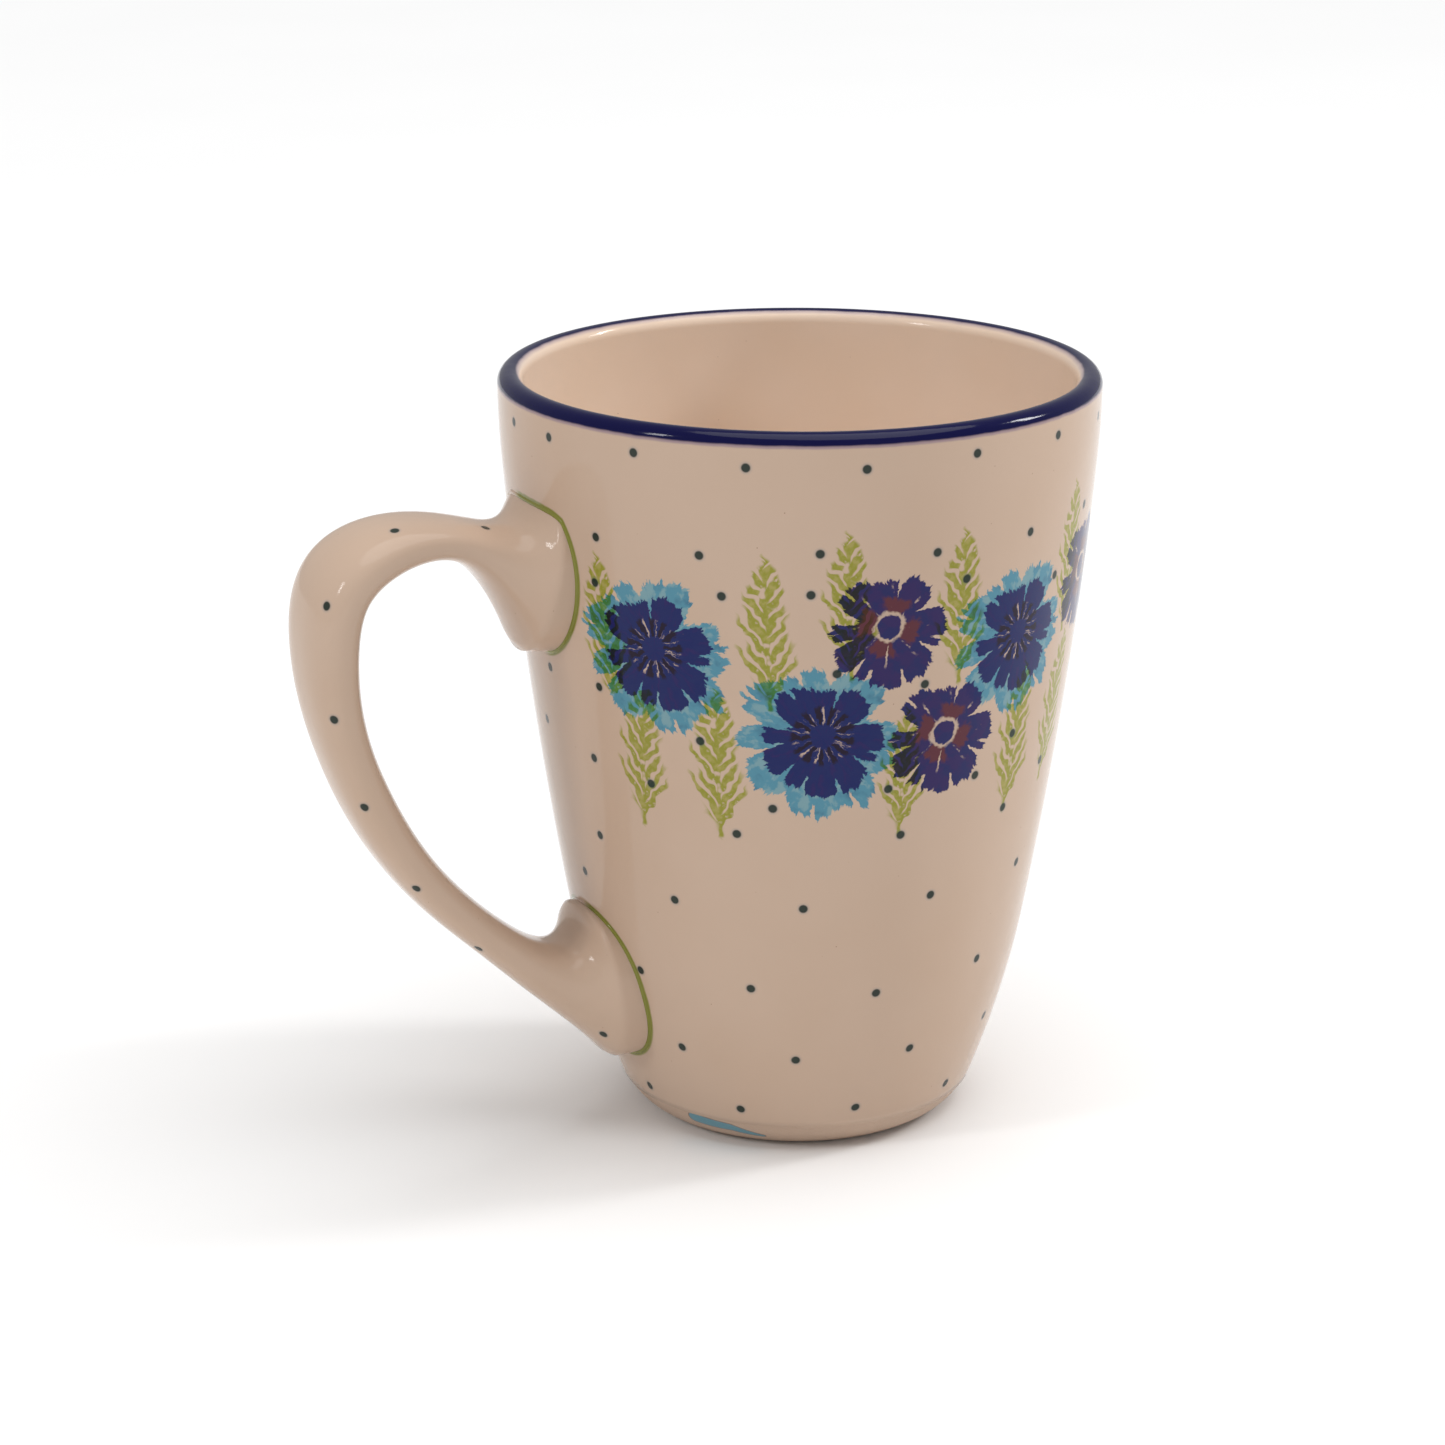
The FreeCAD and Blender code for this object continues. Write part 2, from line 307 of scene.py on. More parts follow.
def wall_radius(level):
    """Radius of the glazed outer wall at a level."""
    for (low_radius, low), (high_radius, high) in zip(WALL_RUN, WALL_RUN[1:]):
        if level <= high:
            part = max(level - low, 0.0) / (high - low)
            return low_radius + (high_radius - low_radius) * part
    return WALL_RUN[-1][0]


def strap_rings():
    """Rings of the handle from pad to pad, each with its length along the strap."""
    points, lengths = strap_curve()
    first = length_at(points, lengths, "upper_pad")
    last = length_at(points, lengths, "lower_pad")
    thickness = [(length_at(points, lengths, p), v / 2.0) for p, v in STRAP_THICKNESS.items()]
    width = [(length_at(points, lengths, p), v / 2.0) for p, v in STRAP_WIDTH.items()]
    rings = []
    index = 0
    for number in range(STRAP_STATIONS + 1):
        here = lengths[-1] * number / STRAP_STATIONS
        while index < len(lengths) - 2 and lengths[index + 1] < here:
            index += 1
        part = (here - lengths[index]) / (lengths[index + 1] - lengths[index])
        centre = points[index].lerp(points[index + 1], part)
        heading = (points[index + 1] - points[index]).normalized()
        upper = math.exp(-max(here - first, 0.0) / UPPER_PAD["flare"])
        lower = math.exp(-max(last - here, 0.0) / LOWER_PAD["flare"])
        thick, wide = eased(here, thickness), eased(here, width)
        for share, pad in ((upper, UPPER_PAD), (lower, LOWER_PAD)):
            thick += share * (pad["high"] - thick)
            wide += share * (pad["wide"] - wide)
            heading += Vector(pad["heading"]) * (share * HEADING_PULL)
        heading.normalize()
        rings.append((here, strap_section(centre, heading, thick, wide, upper)))
    return rings


def strap_section(centre, heading, thick, wide, upper):
    """One section across the strap; upper is how far it belongs to the upper pad."""
    rise = heading.cross(Vector((0.0, 1.0, 0.0)))
    power = BLUNTNESS - UPPER_ROUNDING * upper
    ring = []
    for step in range(STRAP_SIDES):
        angle = 2.0 * math.pi * step / STRAP_SIDES
        up = blunt(math.sin(angle), power)
        across = blunt(math.cos(angle), power) * wide * (1.0 - UPPER_EGG * upper * up)
        ring.append(centre + Vector((0.0, across, 0.0)) + rise * (up * thick))
    return ring


def blunt(value, power):
    """A sine or cosine pushed outwards, so that an ellipse turns into a blunt oval."""
    return math.copysign(abs(value) ** (2.0 / power), value)


def sink_into_wall(point):
    """A point of the handle, kept from going too deep into the cup's wall."""
    target = wall_radius(point.z) - SUNK_DEPTH
    if math.hypot(point.x, point.y) >= target:
        return point
    return Vector((-math.sqrt(max(target * target - point.y * point.y, 0.0)), point.y, point.z))


def make_handle(rings):
    """The strap as an open tube whose ends lie inside the wall."""
    vertices = []
    for _, ring in rings:
        vertices += [sink_into_wall(point) * MM for point in ring]
    return make_piece("strap_handle", vertices, tube_faces(len(rings), STRAP_SIDES))


def strap_point(rings, along, turn):
    """The point on the strap's surface at a length along it and a part of the turn round it."""
    ring = min(rings, key=lambda entry: abs(entry[0] - along))[1]
    return ring[round(turn * len(ring)) % len(ring)]


def seam_path(rings, pad):
    """Where the handle meets the wall at one pad: a closed line of points."""
    chain = [ring for _, ring in rings]
    if pad is LOWER_PAD:
        chain = chain[::-1]
    path = []
    for step in range(STRAP_SIDES):
        for inside, outside in zip(chain, chain[1:]):
            a, b = inside[step], outside[step]
            depth_a = math.hypot(a.x, a.y) - wall_radius(a.z)
            depth_b = math.hypot(b.x, b.y) - wall_radius(b.z)
            if depth_a < 0.0 <= depth_b:
                path.append(a.lerp(b, depth_a / (depth_a - depth_b)))
                break
    return path


def seam_outline(path):
    """A seam seen square on: its middle level, and its reach at each angle round that middle."""
    levels = [point.z for point in path]
    middle = (min(levels) + max(levels)) / 2.0
    reach = []
    for point in path:
        angle = math.degrees(math.atan2(point.z - middle, -point.y))
        reach.append((angle, math.hypot(point.y, point.z - middle)))
    reach.sort()
    knots = reach[::3]
    ends = (knots[0][1] + knots[-1][1]) / 2.0
    return middle, [(-180.0, ends)] + knots + [(180.0, ends)]


def make_seam(name, path):
    """A fine bead of slip along a closed path, sunk by half its radius into the wall."""
    count = len(path)
    vertices = []
    for number, point in enumerate(path):
        tangent = (path[(number + 1) % count] - path[number - 1]).normalized()
        outward = Vector((point.x, point.y, 0.0)).normalized()
        outward = (outward - tangent * outward.dot(tangent)).normalized()
        side = tangent.cross(outward)
        for step in range(SEAM_SIDES):
            angle = 2.0 * math.pi * step / SEAM_SIDES
            offset = outward * math.cos(angle) + side * math.sin(angle)
            vertices.append((point - outward * (SEAM_RADIUS * 0.5) + offset * SEAM_RADIUS) * MM)
    return make_piece(name, vertices, tube_faces(count, SEAM_SIDES, closed=True))


# ---------------------------------------------------------------- arithmetic on shader sockets
class Field:
    """A number that varies over a surface; arithmetic on it adds math nodes."""

    tree = None

    def __init__(self, socket):
        self.socket = socket

    def __add__(self, other):
        return maths("ADD", self, other)

    def __sub__(self, other):
        return maths("SUBTRACT", self, other)

    def __rsub__(self, other):
        return maths("SUBTRACT", other, self)

    def __mul__(self, other):
        return maths("MULTIPLY", self, other)

    def __truediv__(self, other):
        return maths("DIVIDE", self, other)


def feed(socket, value):
    """Put a field, a socket or a constant into a node's input."""
    if isinstance(value, Field):
        value = value.socket
    if isinstance(value, bpy.types.NodeSocket):
        Field.tree.links.new(value, socket)
    else:
        socket.default_value = value


def node(kind, **settings):
    """A shader node in the material being built."""
    made = Field.tree.nodes.new("ShaderNode" + kind)
    for name, value in settings.items():
        setattr(made, name, value)
    return made


def maths(operation, *values):
    made = node("Math", operation=operation)
    for socket, value in zip(made.inputs, values):
        feed(socket, value)
    return Field(made.outputs[0])


def vector_maths(operation, *values, scale=None):
    made = node("VectorMath", operation=operation)
    for socket, value in zip(made.inputs, values):
        feed(socket, value)
    if scale is not None:
        feed(made.inputs["Scale"], scale)
    return made


def joined(x, y, z=0.0):
    made = node("CombineXYZ")
    for socket, value in zip(made.inputs, (x, y, z)):
        feed(socket, value)
    return made.outputs[0]


def parts(vector):
    made = node("SeparateXYZ")
    feed(made.inputs[0], vector)
    return Field(made.outputs[0]), Field(made.outputs[1]), Field(made.outputs[2])


def length(vector):
    return Field(vector_maths("LENGTH", vector).outputs["Value"])


def faded(value, solid, clear):
    """1 where value has reached solid, 0 where it has reached clear, eased between them."""
    made = node("MapRange", interpolation_type="SMOOTHSTEP", clamp=True)
    feed(made.inputs["Value"], value)
    feed(made.inputs["From Min"], clear)
    feed(made.inputs["From Max"], solid)
    return Field(made.outputs["Result"])


def noise(vector, scale, detail=2.0, roughness=0.5):
    made = node("TexNoise")
    feed(made.inputs["Vector"], vector)
    made.inputs["Scale"].default_value = scale
    made.inputs["Detail"].default_value = detail
    made.inputs["Roughness"].default_value = roughness
    return made


def roughened(place, scale, detail, roughness, reach):
    """The x and y of a place, shaken by noise."""
    rough = noise(place, scale, detail, roughness).outputs["Color"]
    shift = vector_maths("SUBTRACT", rough, (0.5, 0.5, 0.5)).outputs[0]
    shift = vector_maths("SCALE", shift, scale=reach).outputs[0]
    x, y, _ = parts(vector_maths("ADD", place, shift).outputs[0])
    return x, y


def nearest(distances):
    """The least of several distances."""
    least = distances[0]
    for distance in distances[1:]:
        least = maths("MINIMUM", least, distance)
    return least


def mixed(kind, below, above, mask, blend="MIX"):
    """One value over another, by a mask."""
    made = node("Mix", data_type=kind, blend_type=blend)
    feed(made.inputs["Factor"], mask)
    feed(made.inputs["A"], below)
    feed(made.inputs["B"], above)
    return made.outputs["Result"]


def blended(below, above, mask):
    """One colour over another, by a mask."""
    return mixed("RGBA", below, above, mask)


def chosen(mask, vector, otherwise):
    """vector where mask is 1, otherwise the other one."""
    return mixed("VECTOR", otherwise, vector, mask)


def tinted(colour, pigment, mask):
    """A see-through pigment laid over a colour."""
    return mixed("RGBA", colour, pigment, mask, "MULTIPLY")


def rgb(red, green, blue):
    return (red, green, blue, 1.0)


# ---------------------------------------------------------------- colours, linear light
CLAY = rgb(0.550, 0.405, 0.308)
CLAY_WARM = rgb(0.520, 0.372, 0.272)
# The hollow's clay: the same stoneware as CLAY, made much paler as painted light for the light that
# falls inside the mug.
INNER_CLAY_WITH_PAINTED_LIGHT = rgb(0.820, 0.660, 0.535)
INNER_CLAY_WARM_WITH_PAINTED_LIGHT = rgb(0.790, 0.610, 0.462)
BARE_CLAY = rgb(0.53, 0.385, 0.29)
WASH_BLUE = rgb(0.065, 0.240, 0.330)
WASH_BLUE_DEEP = rgb(0.035, 0.150, 0.235)
WASH_BLUE_THIN = rgb(0.190, 0.330, 0.360)
MARK_BLUE = rgb(0.120, 0.280, 0.350)
COBALT = rgb(0.003, 0.003, 0.045)
COBALT_BLEED = rgb(0.110, 0.070, 0.200)
INK_BLUE = rgb(0.006, 0.010, 0.095)
INK_VIOLET = rgb(0.018, 0.008, 0.090)
MAROON = rgb(0.105, 0.018, 0.024)
SOOT = rgb(0.012, 0.004, 0.012)
LEAF = rgb(0.47, 0.63, 0.07)
LEAF_THIN = rgb(0.64, 0.76, 0.26)
BRUSH_GREEN = rgb(0.34, 0.50, 0.07)
TEAL_DOT = rgb(0.008, 0.022, 0.017)
SPECK = rgb(0.16, 0.08, 0.04)
FLOOR_TONES = (rgb(0.93, 0.93, 0.93), rgb(0.91, 0.91, 0.91))
GLAZE_IOR = 1.52
GLAZE_SPECULAR = 0.17

# ---------------------------------------------------------------- decoration: where each stamp goes
# Degrees round the cup from the handle, level in mm, turn of the stamp in degrees, size.
CORNFLOWERS = [
    (34.0, 81.4, 20.0, 1.0), (67.9, 69.8, 0.0, 1.0), (111.0, 81.8, 10.0, 0.97),
    (160.0, 72.0, 5.0, 1.0), (199.0, 82.0, -12.0, 1.0), (243.0, 70.5, 14.0, 0.98),
    (289.0, 82.0, -6.0, 1.0), (325.0, 71.0, 9.0, 1.0),
]
ASTERS = [
    (80.3, 85.8, 6.0, 0.98), (93.8, 68.7, 3.0, 0.98), (137.5, 87.0, 12.0, 0.98),
    (178.0, 87.5, -8.0, 0.98), (221.0, 69.0, 16.0, 0.98), (255.0, 87.0, -3.0, 0.98),
    (270.0, 69.5, 8.0, 0.98), (308.0, 88.0, 0.0, 0.98),
]
FRONDS = [
    (22.5, 82.5, 4.0, 1.0), (29.5, 65.0, -5.0, 1.0), (46.5, 65.0, 0.0, 1.0),
    (57.0, 85.0, 2.0, 1.0), (72.5, 89.0, 3.0, 0.95), (85.0, 63.5, 0.0, 0.85),
    (95.5, 87.5, 2.0, 1.0), (114.5, 65.0, -2.0, 1.0), (128.5, 90.0, 3.0, 1.0),
    (130.5, 67.0, -4.0, 1.0), (148.0, 86.0, 0.0, 1.0), (170.0, 90.0, 4.0, 0.95),
    (180.0, 66.5, -3.0, 1.0), (203.0, 64.0, 2.0, 1.0), (213.0, 86.0, 0.0, 1.0),
    (232.0, 86.0, 3.0, 1.0), (246.0, 88.0, -3.0, 0.95), (257.0, 64.0, 0.0, 0.9),
    (276.0, 88.0, 2.0, 1.0), (300.0, 66.0, 3.0, 0.95),
    (320.0, 88.0, -2.0, 1.0), (336.0, 67.0, 2.0, 0.95),
]
# Rows of dots: level, spacing and first place in degrees, sway up and down in mm.
DOT_ROWS = [
    (109.4, 21.6, 10.2, 0.5), (96.5, 22.4, 22.0, 0.5), (42.2, 30.4, 34.0, 1.0),
    (28.7, 31.2, 20.6, 0.8), (17.0, 32.7, 30.2, 0.2), (7.4, 35.4, 46.0, 0.4),
]
# Single dots among the flowers: degrees and level.
LOOSE_DOTS = [
    (20.8, 89.6), (48.5, 90.4), (65.2, 91.0), (96.0, 91.6), (122.0, 88.4), (1.8, 73.6),
    (19.2, 73.6), (70.4, 79.2), (88.4, 76.6), (-4.5, 64.3), (14.9, 61.9), (30.8, 60.3),
    (43.0, 68.2), (57.8, 58.5), (82.0, 61.0), (103.2, 60.8), (113.5, 65.7), (128.5, 58.7),
    (13.2, 49.4), (50.0, 54.2), (85.6, 53.5), (114.0, 54.0), (151.0, 90.0), (145.0, 60.5),
    (172.0, 79.0), (190.0, 60.5), (214.0, 91.5), (232.0, 62.0), (263.0, 78.5), (281.0, 60.5),
    (304.0, 77.0), (318.0, 60.5), (340.0, 88.0), (338.0, 56.0), (155.0, 53.0), (202.0, 54.0),
    (250.0, 53.5), (298.0, 54.0),
]


def around_cup(degrees, radius, level):
    """The point at an angle round the cup from the handle, in mm."""
    angle = math.radians(degrees)
    return (-radius * math.cos(angle), -radius * math.sin(angle), level)


# The dab of colour at the heel, from its fat end to its thin one.
FOOT_MARK = [
    around_cup(27.5, 26.0, 3.7), around_cup(41.0, 26.0, 3.1), around_cup(52.0, 24.9, 2.1),
]
FOOT_MARK_WIDTHS = (1.05, 0.85, 0.3)
# Dots along the strap: length from its upper root in mm, and part of the turn round it.
HANDLE_DOTS = [
    (15.3, 0.69), (28.0, 0.67), (40.0, 0.62), (55.4, 0.58), (69.4, 0.58), (84.7, 0.59),
    (99.4, 0.64), (119.4, 0.61), (20.5, 0.86), (33.5, 0.88), (46.5, 0.86), (62.0, 0.92),
    (77.0, 0.91), (92.0, 0.90), (106.0, 0.86), (118.0, 0.90),
]

# Outlines of the stamps: radius in mm at each angle in degrees, 0 to the right, 90 up.
PETAL_OUTLINE = [
    (-180, 8.7), (-173, 8.3), (-169, 5.0), (-165, 8.6), (-145, 9.3), (-136, 8.8), (-133, 4.8),
    (-130, 8.8), (-110, 8.8), (-90, 9.6), (-75, 9.1), (-60, 9.6), (-45, 8.7), (-39, 8.4),
    (-36, 4.6), (-33, 8.2), (-20, 9.0), (-5, 8.8), (8, 8.4), (14, 7.0), (20, 4.3), (26, 7.2),
    (36, 8.0), (50, 8.1), (62, 7.9), (69, 7.2), (72, 3.8), (75, 7.0), (90, 6.8), (110, 7.5),
    (125, 8.7), (140, 8.8), (151, 7.5), (158, 5.0), (166, 4.8), (171, 8.4), (180, 8.7),
]
CORNFLOWER_OUTLINE = [
    (-180, 12.2), (-172, 12.0), (-166, 8.4), (-159, 11.5), (-145, 12.6), (-128, 11.8),
    (-120, 9.4), (-114, 12.0), (-95, 12.8), (-82, 12.3), (-75, 11.0), (-60, 12.8), (-48, 11.3),
    (-40, 9.4), (-32, 10.8), (-20, 11.8), (-8, 10.0), (2, 11.0), (10, 9.6), (17, 7.0),
    (22, 6.7), (30, 9.6), (38, 11.3), (52, 10.7), (65, 9.8), (78, 9.5), (84, 7.4), (88, 9.7),
    (105, 10.3), (120, 9.9), (135, 11.5), (150, 13.0), (160, 11.8), (168, 8.4), (174, 11.4),
    (180, 12.2),
]
OUTLINE_SCALE = 14.0
CORNFLOWER_REACH = 15.0
ASTER_REACH = 11.5
# Half width of a frond in mm at each level above its middle.
FROND_OUTLINE = [
    (-11, 0.3), (-9, 1.4), (-8, 3.4), (-5, 4.3), (0, 4.4), (4, 4.0), (7, 2.8), (9, 1.6), (11, 0.4),
]
FROND_REACH = 12.0
# Strokes of a frond: rise for each mm outwards, mm from one to the next, offset of the two sides.
FROND_SLOPE = 1.4
FROND_SPACING = 2.5
FROND_STAGGER = 0.55
# Edges of the cobalt and of its violet bleed, outside and inside the lip: solid and clear, in
# degrees round the lip from level with its outside.
COBALT_EDGES = ((14.0, 3.0), (112.0, 128.0))
BLEED_EDGES = ((3.0, -9.0), (122.0, 146.0))
EDGE_WANDER = 7.0
SPECK_SCALE = 0.42
FAR_AWAY = 1000.0


def outline(angle_part, knots, low, high):
    """A curve through the given knots, read at angle_part from 0 to 1."""
    made = node("FloatCurve")
    curve = made.mapping.curves[0]
    points = [((x - low) / (high - low), y / OUTLINE_SCALE) for x, y in knots]
    curve.points[0].location = points[0]
    curve.points[1].location = points[-1]
    for x, y in points[1:-1]:
        curve.points.new(x, y)
    for point in curve.points:
        point.handle_type = "VECTOR"
    made.mapping.update()
    feed(made.inputs["Value"], angle_part)
    return Field(made.outputs[0]) * OUTLINE_SCALE


def nearest_stamp(around, spots, reach):
    """Coordinates in mm inside the nearest stamp of a kind, if it is within reach, else far away."""
    arc_length, radius, level = around
    here = joined(arc_length, level)
    place = joined(FAR_AWAY, FAR_AWAY)
    closest = reach
    for degrees, height, turn, size in spots:
        centre = joined(radius * math.radians(degrees), height)
        offset = vector_maths("SUBTRACT", here, centre).outputs[0]
        turned_round = node("VectorRotate", rotation_type="Z_AXIS")
        feed(turned_round.inputs["Vector"], offset)
        turned_round.inputs["Angle"].default_value = math.radians(-turn)
        sized = vector_maths("SCALE", turned_round.outputs[0], scale=1.0 / size).outputs[0]
        away = length(sized)
        place = chosen(maths("LESS_THAN", away, closest), sized, place)
        closest = maths("MINIMUM", away, closest)
    return place


def polar(place, ragged):
    """Radius and angle in a stamp, made ragged by noise."""
    x, y = roughened(place, 0.9, 3.0, 0.6, ragged)
    return maths("SQRT", x * x + y * y), maths("ARCTAN2", y, x)


def torn(edge, angle, teeth, depth):
    """An outline torn into narrow florets of uneven length."""
    rough = Field(noise(joined(angle * teeth, 0.0), 0.32, 2.0, 0.75).outputs["Fac"])
    slits = Field(noise(joined(angle * teeth, 9.0), 0.22, 0.0).outputs["Fac"])
    return edge + (rough - 0.5) * depth - faded(slits, 0.73, 0.65) * 2.0


def paint_cornflowers(colour, around):
    """Pale blue flowers with dark petals and a ring of stamens."""
    place = nearest_stamp(around, CORNFLOWERS, CORNFLOWER_REACH)
    radius, angle = polar(place, 1.3)
    part = angle / (2.0 * math.pi) + 0.5
    streaks = Field(noise(joined(angle * 4.0, radius * 0.15), 2.0, 3.0).outputs["Fac"])
    clouds = Field(noise(place, 0.28, 3.0, 0.6).outputs["Fac"])
    wash = blended(WASH_BLUE, WASH_BLUE_DEEP, faded(clouds, 0.7, 0.54) * 0.8)
    wash = blended(wash, WASH_BLUE_THIN, faded(streaks + (clouds - 0.5), 0.36, 0.52) * 0.8)
    edge = torn(outline(part, CORNFLOWER_OUTLINE, -180, 180), angle, 34.0, 4.6)
    colour = blended(colour, wash, faded(radius - edge, -0.15, 0.2) * 0.96)
    edge = torn(outline(part, PETAL_OUTLINE, -180, 180), angle, 30.0, 3.4)
    ink = blended(INK_BLUE, INK_VIOLET, faded(streaks, 0.68, 0.5))
    colour = blended(colour, ink, faded(radius - edge, -0.12, 0.16) * 0.98)
    spokes = maths("COSINE", angle * 13.0 + clouds * 5.0)
    ring = faded(radius, 2.0, 1.7) * faded(radius, 4.2, 4.9)
    gaps = faded(spokes, -0.55, -0.05) * faded(radius, 3.8, 4.6) * faded(streaks, 0.62, 0.52)
    colour = blended(colour, SOOT, ring * faded(spokes, 0.4, 0.0) * 0.92)
    return blended(colour, CLAY, ring * gaps * 0.9)


def paint_asters(colour, around):
    """Violet-blue flowers with maroon petal bases round a pale ring."""
    place = nearest_stamp(around, ASTERS, ASTER_REACH)
    radius, angle = polar(place, 1.1)
    part = angle / (2.0 * math.pi) + 0.5
    streaks = Field(noise(joined(angle * 4.0, radius * 0.15), 2.2, 3.0).outputs["Fac"])
    clouds = Field(noise(place, 0.32, 3.0, 0.6).outputs["Fac"])
    edge = torn(outline(part, PETAL_OUTLINE, -180, 180), angle, 28.0, 3.4)
    ink = blended(INK_VIOLET, INK_BLUE, faded(clouds, 0.58, 0.42))
    patches = maths("COSINE", angle * 4.0 + clouds * 3.0) * 0.5 + 0.5
    heart = faded(radius + streaks * 2.0, 5.2, 6.0) * faded(patches, 0.5, 0.1) * faded(radius, 2.1, 1.8)
    ink = blended(ink, MAROON, heart * 0.9)
    colour = blended(colour, ink, faded(radius - edge, -0.12, 0.16) * 0.98)
    ring = faded(radius, 1.95, 1.7) * faded(radius + clouds * 2.0, 3.1, 3.6)
    cracks = faded(maths("COSINE", angle * 8.0 + 1.2), 0.992, 0.96) * faded(radius, 2.4, 2.0)
    cracks = cracks * faded(radius, 5.4, 6.6) * faded(clouds, 0.4, 0.5)
    return blended(colour, CLAY, maths("MAXIMUM", ring, cracks) * 0.88)


def paint_fronds(colour, around):
    """Feathery green sprays, a pigment one can see the flowers through."""
    place = nearest_stamp(around, FRONDS, FROND_REACH)
    x, y = roughened(place, 0.4, 1.0, 0.5, 2.4)
    side = maths("SIGN", x)
    out = maths("ABSOLUTE", x)
    rank = (y - out * FROND_SLOPE + side * FROND_STAGGER) / FROND_SPACING
    cell = maths("FLOOR", rank)
    pick = node("TexWhiteNoise", noise_dimensions="2D")
    feed(pick.inputs["Vector"], joined(cell, side))
    chance = Field(pick.outputs["Value"])
    middle = maths("ABSOLUTE", rank - cell - 0.5)
    width = outline(y / (2.0 * FROND_REACH) + 0.5, FROND_OUTLINE, -FROND_REACH, FROND_REACH)
    tip = out - width * (chance * 0.8 + 0.45)
    strokes = faded(middle + out * 0.045, 0.33, 0.45) * faded(tip, -0.5, 0.4)
    stem = faded(out, 0.2, 0.55) * faded(maths("ABSOLUTE", y + 1.0), 10.0, 10.6)
    grain = Field(noise(place, 0.8, 3.0).outputs["Fac"])
    elsewhere = vector_maths("ADD", place, (31.0, 7.0, 0.0)).outputs[0]
    dabs = Field(noise(elsewhere, 0.5, 1.0).outputs["Fac"])
    mask = maths("MAXIMUM", strokes, stem) * faded(grain, 0.40, 0.28) * faded(dabs, 0.36, 0.27)
    green = blended(LEAF, LEAF_THIN, faded(grain, 0.66, 0.45))
    return tinted(colour, green, mask * 0.95)


def paint_dots(colour, around):
    """Rows of dark dots round the wall, and single ones among the flowers."""
    arc_length, radius, level = around
    turn = arc_length / radius * math.degrees(1.0)
    distances = []
    for height, spacing, first, sway in DOT_ROWS:
        place = maths("WRAP", turn - first, spacing / 2.0, -spacing / 2.0)
        drift = maths("SINE", (turn - first - place) * 2.7) * sway
        distances.append(length(joined(place * radius * math.radians(1.0), level - height - drift)))
    for degrees, height in LOOSE_DOTS:
        place = maths("WRAP", turn - degrees, 180.0, -180.0)
        distances.append(length(joined(place * radius * math.radians(1.0), level - height)))
    return dotted(colour, nearest(distances))


def dotted(colour, distance):
    """A dot of teal-black with a faint halo, by distance from its middle."""
    colour = blended(colour, WASH_BLUE_DEEP, faded(distance, 0.55, 1.15) * 0.22)
    return blended(colour, TEAL_DOT, faded(distance, 0.52, 0.78) * 0.95)


def paint_rim(colour, radius, level, spot):
    """Cobalt over the lip, its edges a little uneven and bleeding violet into the clay."""
    angle = maths("ARCTAN2", level - LIP_LEVEL, radius - (RIM - LIP)) * math.degrees(1.0)
    angle = angle + (Field(noise(spot, 0.35, 2.0).outputs["Fac"]) - 0.5) * EDGE_WANDER
    bleed, mask = (
        faded(angle, *outside) * faded(angle, *inside)
        for outside, inside in (BLEED_EDGES, COBALT_EDGES)
    )
    return blended(blended(colour, COBALT_BLEED, bleed * 0.5), COBALT, mask)


def paint_pad_lines(colour, x, y, level, pad_lines):
    """Green brush lines where the two pads meet the wall, pressed lighter at their ends."""
    for middle, knots, gaps in pad_lines:
        up = level - middle
        angle = maths("ARCTAN2", up, 0.0 - y) * math.degrees(1.0)
        edge = outline(angle / 360.0 + 0.5, knots, -180.0, 180.0)
        distance = maths("SQRT", y * y + up * up) - edge
        mask = faded(maths("ABSOLUTE", distance), 0.55, 0.90) * maths("LESS_THAN", x, 0.0)
        for gap in gaps:
            away = maths("ABSOLUTE", maths("WRAP", angle - gap, 180.0, -180.0))
            mask = mask * faded(away, 20.0, 5.0)
        colour = tinted(colour, BRUSH_GREEN, mask * 0.92)
    return colour


def paint_foot_mark(colour, spot):
    """A short pale-blue dab low on the heel, fat at one end, with a fine dark edge."""
    edges = []
    widths = FOOT_MARK_WIDTHS
    for start, stop, fat, thin in zip(FOOT_MARK, FOOT_MARK[1:], widths, widths[1:]):
        span = Vector(stop) - Vector(start)
        here = vector_maths("SUBTRACT", spot, start).outputs[0]
        along = Field(vector_maths("DOT_PRODUCT", here, tuple(span)).outputs["Value"])
        along = maths("MINIMUM", maths("MAXIMUM", along / span.length_squared, 0.0), 1.0)
        closest = vector_maths("SCALE", tuple(span), scale=along).outputs[0]
        distance = length(vector_maths("SUBTRACT", here, closest).outputs[0])
        edges.append(distance - (fat - along * (fat - thin)))
    edge = nearest(edges)
    colour = blended(colour, SOOT, faded(edge, 0.05, 0.22) * 0.55)
    return blended(colour, MARK_BLUE, faded(edge, -0.12, 0.02))


def paint_specks(colour, spot):
    """Fine iron specks that come through the glaze."""
    cells = node("TexVoronoi", feature="F1")
    feed(cells.inputs["Vector"], spot)
    cells.inputs["Scale"].default_value = SPECK_SCALE
    pick, size, _ = parts(cells.outputs["Color"])
    reach = faded(cells.outputs["Distance"], 0.02, 0.045)
    return blended(colour, SPECK, reach * maths("GREATER_THAN", pick, 0.35) * size * 0.8)


# ---------------------------------------------------------------- materials
def start_material(name):
    """A new material and its shader; nodes made from here on go into it."""
    material = bpy.data.materials.new(name)
    material.use_nodes = True
    Field.tree = material.node_tree
    Field.tree.nodes.clear()
    shader = node("BsdfPrincipled")
    output = node("OutputMaterial")
    Field.tree.links.new(shader.outputs[0], output.inputs["Surface"])
    return material, shader


